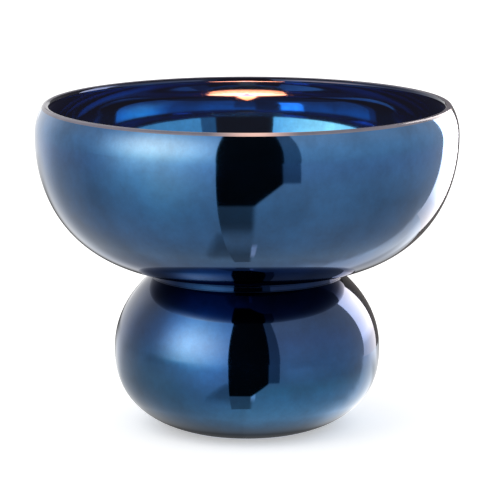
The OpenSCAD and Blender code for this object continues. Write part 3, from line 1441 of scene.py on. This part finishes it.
@dataclass
class TableEnd:
    """The glossy end of the table before the camera, in degrees and metres.

    Mirrors see it black at a shallow angle, and dim at a steep one.
    """

    turns: tuple[int, int] = (-16, 28)
    radii: tuple[float, ...] = (
        0.035, 0.045, 0.055, 0.07, 0.08, 0.09, 0.1, 0.11, 0.12, 0.135, 0.2, 0.35, 0.6, 1.0, 1.7,
    )
    forward: float = 0.027
    z: float = 0.0006
    gap_turn: int = 18
    glint: Light = (2.3, 1.8, 1.8)
    edge_turns: Point = (4, 19)
    edge_low: float = 0.4
    edge_rise: float = 0.26
    blur: float = 0.015

    def steep(self, turn: float, radius: float) -> Light:
        """Gives the light at a steep angle: dim, with white to the right and a pale glint between.

        Args:
            turn: Degrees from the camera's side.
            radius: Metres from the object's axis.

        Returns:
            Red, green and blue light.
        """
        if 3 < turn < 8 and 0.05 < radius < 0.075:
            return self.glint
        dim = 0.35 + 0.36 * smooth(radius, 0.053, 0.084) - 0.5 * smooth(radius, 0.088, 0.13)
        return grey(dim + (WHITE - dim) * smooth(turn, 2, 6))

    def gloss(self) -> Material:
        """Builds the material that turns from the steep light to the shallow one past each vertex's edge.

        Returns:
            The material.
        """
        made = MaterialTree("table_end_gloss")
        add = made.add
        names = ("glow", "shallow", "edge")
        read = {name: add("ShaderNodeAttribute", attribute_name=name) for name in names}
        facing = add("ShaderNodeLayerWeight", {"Blend": 0.5}).outputs["Facing"]
        past = add("ShaderNodeMath", {0: facing, 1: read["edge"].outputs["Fac"]}, operation="SUBTRACT")
        share = add("ShaderNodeMapRange", {"Value": past, "From Min": -self.blur, "From Max": self.blur})
        lights = {"Factor": share, 6: read["glow"], 7: read["shallow"]}
        mixed = add("ShaderNodeMix", lights, data_type="RGBA")
        return made.end(add("ShaderNodeEmission", {"Color": mixed}))

    def build(self) -> Object:
        """Lays the table's end.

        Returns:
            The table end.
        """
        turns = range(self.turns[0], self.turns[1] + 1)
        spots = [(turn, radius) for radius in self.radii for turn in turns]
        flat = [around(*spot) for spot in spots]
        places = [(x, y - self.forward, self.z) for x, y in flat]
        lights = [self.steep(*spot) for spot in spots]
        end = reflected_grid("table_end", len(turns), places, lights, self.gloss())
        dark = [part for turn, _ in spots for part in (*(DIM if turn > self.gap_turn else BLACK), 1.0)]
        end.data.attributes.new("shallow", "FLOAT_COLOR", "POINT").data.foreach_set("color", dark)
        first, last = self.edge_turns
        shares = [min(1.0, max(0.0, (turn - first) / (last - first))) for turn, _ in spots]
        edges = [self.edge_low + self.edge_rise * share for share in shares]
        end.data.attributes.new("edge", "FLOAT", "POINT").data.foreach_set("value", edges)
        return end


@dataclass
class Studio:
    """Pale floor, white surround, soft light, reflected cards and the camera, in metres."""

    floor_half: float = 5.0
    floor_colours: tuple[str, str] = ("#F6F6F6", "#F8F8F8")
    floor_grain_mm: float = 125.0
    floor_lift: float = 0.4
    lamp_size: float = 1.4
    lamp_energy: float = 6.0
    lamp_place: Place = (-1.0, -0.9, 1.5)
    lamp_target: Place = (0.0, 0.0, 0.05)
    table_z: float = 0.0003
    table_turns: int = 120
    card_r: float = 0.205
    card_tint: Light = (1.16, 1.05, 1.0)
    target_z: float = 0.066
    distance: float = 1.326
    elevation: float = 10.94
    lens: float = 231.05
    sensor: float = 36.0
    shift: Point = (0.006, 0.0337)

    def board(self) -> Material:
        """Builds the floor's matt white board, which the eye sees as even white with a soft shadow.

        Returns:
            The material.
        """
        made = MaterialTree("matt_white_board")
        add = made.add
        place = add("ShaderNodeTexCoord").outputs["Object"]
        grain = add("ShaderNodeTexNoise", {"Vector": place, "Scale": 1 / (self.floor_grain_mm * MM)})
        low, high = (linear(colour) for colour in self.floor_colours)
        body = add("ShaderNodeMix", {"Factor": grain, 6: low, 7: high}, data_type="RGBA")
        path = add("ShaderNodeLightPath").outputs
        seen = path["Is Camera Ray"]
        for other in ("Is Glossy Ray", "Is Transmission Ray"):
            seen = add("ShaderNodeMath", {0: seen, 1: path[other]}, operation="MAXIMUM")
        lift = add("ShaderNodeMath", {0: seen, 1: self.floor_lift}, operation="MULTIPLY")
        matt = add("ShaderNodeBsdfDiffuse", {"Color": body})
        white = add("ShaderNodeEmission", {"Strength": lift})
        return made.end(add("ShaderNodeAddShader", {0: matt, 1: white}))

    def floor(self) -> None:
        """Lays the floor."""
        h = self.floor_half
        mesh = bpy.data.meshes.new("studio_floor")
        mesh.from_pydata([(-h, -h, 0), (h, -h, 0), (h, h, 0), (-h, h, 0)], [], [(0, 1, 2, 3)])
        mesh.materials.append(self.board())
        stand("studio_floor", mesh)

    def world(self) -> None:
        """Makes the plain white surround."""
        world = bpy.data.worlds.new("white_surround")
        bpy.context.scene.world = world
        world.use_nodes = True
        tree = Tree(world.node_tree)
        white = {"Color": (1.0, 1.0, 1.0, 1.0), "Strength": 1.0}
        tree.add("ShaderNodeOutputWorld", {0: tree.add("ShaderNodeBackground", white)})

    def lamp(self) -> None:
        """Hangs one wide soft lamp over the left shoulder."""
        light = bpy.data.lights.new("soft_box", "AREA")
        light.shape = "DISK"
        light.size = self.lamp_size
        light.energy = self.lamp_energy
        lamp = stand("soft_box", light)
        lamp.location = self.lamp_place
        lamp.rotation_euler = (Vector(self.lamp_target) - lamp.location).to_track_quat("-Z", "Y").to_euler()
        lamp.visible_glossy = False
        lamp.visible_transmission = False

    def cards(self) -> None:
        """Sets the cards and the table that the mirrors show."""
        cards = (
            Card("left_scrim", (-160, -16), (-2, 60), SCRIM_R, lamp_light, (96, 48)),
            Card("camera_gap", (-16, 19), (-6, 70), 1.7, BLACK),
            Card("dim_strip", (19, 28), (-6, 60), 1.7, DIM),
            Card("right_panel", (28, 140), (-6, 52), 1.8, panel_light),
            Card("right_back", (140, 170), (-6, 52), 1.7, grey(0.16)),
            Card("dim_back", (170, 195), (14, 52), 1.8, grey(0.4)),
            Card("dark_ceiling", (-180, 180), (52, 90), 1.9, grey(0.2), (48, 8)),
        )
        for card in cards:
            card.build()
        self.table()
        strip = [(0.0, 1.7), (0.03, 2.2), (0.05, 4.0), (0.11, 5.2), (0.2, 5.2), (0.26, 6.0), (0.29, 6.0)]
        self.standing_card("white_strip", (108, 137), strip)
        self.standing_card("dark_edge", (137, 168), [(0.0, 0.14), (0.29, 0.14)])
        TableEnd().build()

    def table(self) -> None:
        """Lays the lit table top that the mirrors show."""
        radii = [0.0, *(0.035 + 0.015 * k for k in range(15)), 0.28, 0.33, 0.4, 0.5, 0.7, 1.0, 1.4, 1.9]
        turns = [360 * i / self.table_turns - 180 for i in range(self.table_turns)]
        spots = [(turn, radius) for radius in radii for turn in turns]
        places = [(*around(*spot), self.table_z) for spot in spots]
        lights = [table_light(*spot) for spot in spots]
        reflected_grid("table_top", len(turns), places, lights, closed=True)

    def standing_card(self, name: str, azimuth: Point, rows: Sequence[Point]) -> None:
        """Stands a flat card on the table, near the object.

        Args:
            name: The card's name.
            azimuth: Degrees of its two ends.
            rows: Heights in metres, each with its light.
        """
        ends = [around(turn, self.card_r) for turn in azimuth]
        red, green, blue = self.card_tint
        places = [(*end, height) for height, _ in rows for end in ends]
        lights = [(red * level, green * level, blue * level) for _, level in rows for _ in ends]
        reflected_grid(name, len(ends), places, lights)

    def camera(self) -> None:
        """Sets the camera at the photograph's angle."""
        data = bpy.data.cameras.new("photo_camera")
        data.lens = self.lens
        data.sensor_width = self.sensor
        data.shift_x, data.shift_y = self.shift
        camera = stand("photo_camera", data)
        e = math.radians(self.elevation)
        height = self.target_z + self.distance * math.sin(e)
        camera.location = (0.0, -self.distance * math.cos(e), height)
        camera.rotation_euler = (math.pi / 2 - e, 0.0, 0.0)
        bpy.context.scene.camera = camera


def report(piece: Object) -> None:
    """Logs one finished piece."""
    LOG.info("%s: %d faces", piece.name, len(piece.data.polygons))


def main() -> None:
    """Builds the studio and the object, piece by piece."""
    logging.basicConfig(level=logging.INFO, format="%(message)s")
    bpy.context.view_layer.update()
    bpy.context.scene.view_settings.view_transform = "Standard"
    studio = Studio()
    studio.camera()
    studio.world()
    studio.lamp()
    studio.floor()
    studio.cards()

    lathe = Lathe()
    outside = MirroredGlass("blue_lustre_outside", OUTER_LUSTRE_AND_SHADE, OUTER_PAINTED_LIGHT, waist=(57.0, 80.0)).build()
    inside = MirroredGlass("blue_lustre_inside", INNER_LUSTRE, coat=0.2, painted_glow="#14131A").build()
    lip = BareLipGlass().build()
    foot = GlassFoot()
    bond = BondRing()
    mouth_r, mouth_z = foot.mouth_middle
    bowl = GlassBowl(rest_r=mouth_r, rest_z=mouth_z + foot.wall / 2 + bond.thickness)
    report(foot.build(lathe, outside))
    report(bowl.build(lathe, [inside, lip, outside]))
    adhesive = ClearResin("cured_clear_adhesive", "#E8F2F8", ior=1.48, roughness=0.08, wave_mm=3.0).build()
    report(bond.build(lathe, [adhesive, outside], foot, bowl))

    tealight = Tealight(floor_z=bowl.seat_z)
    plastic = ClearResin("moulded_polycarbonate", "#F6FAFC", ior=1.58, roughness=0.02, wave_mm=8.0).build()
    report(tealight.cup(lathe, plastic))
    report(tealight.wax(lathe, ParaffinWax(tealight.wax_top).build()))
    report(tealight.wick(PliedCord(), CottonWick(tealight.wick_top).build()))
    report(tealight.sustainer(lathe, TinnedSteel().build()))
    report(tealight.flame(lathe, CandleFlame(tealight.flame_z, tealight.flame_h).build()))


if __name__ == "__main__":
    main()
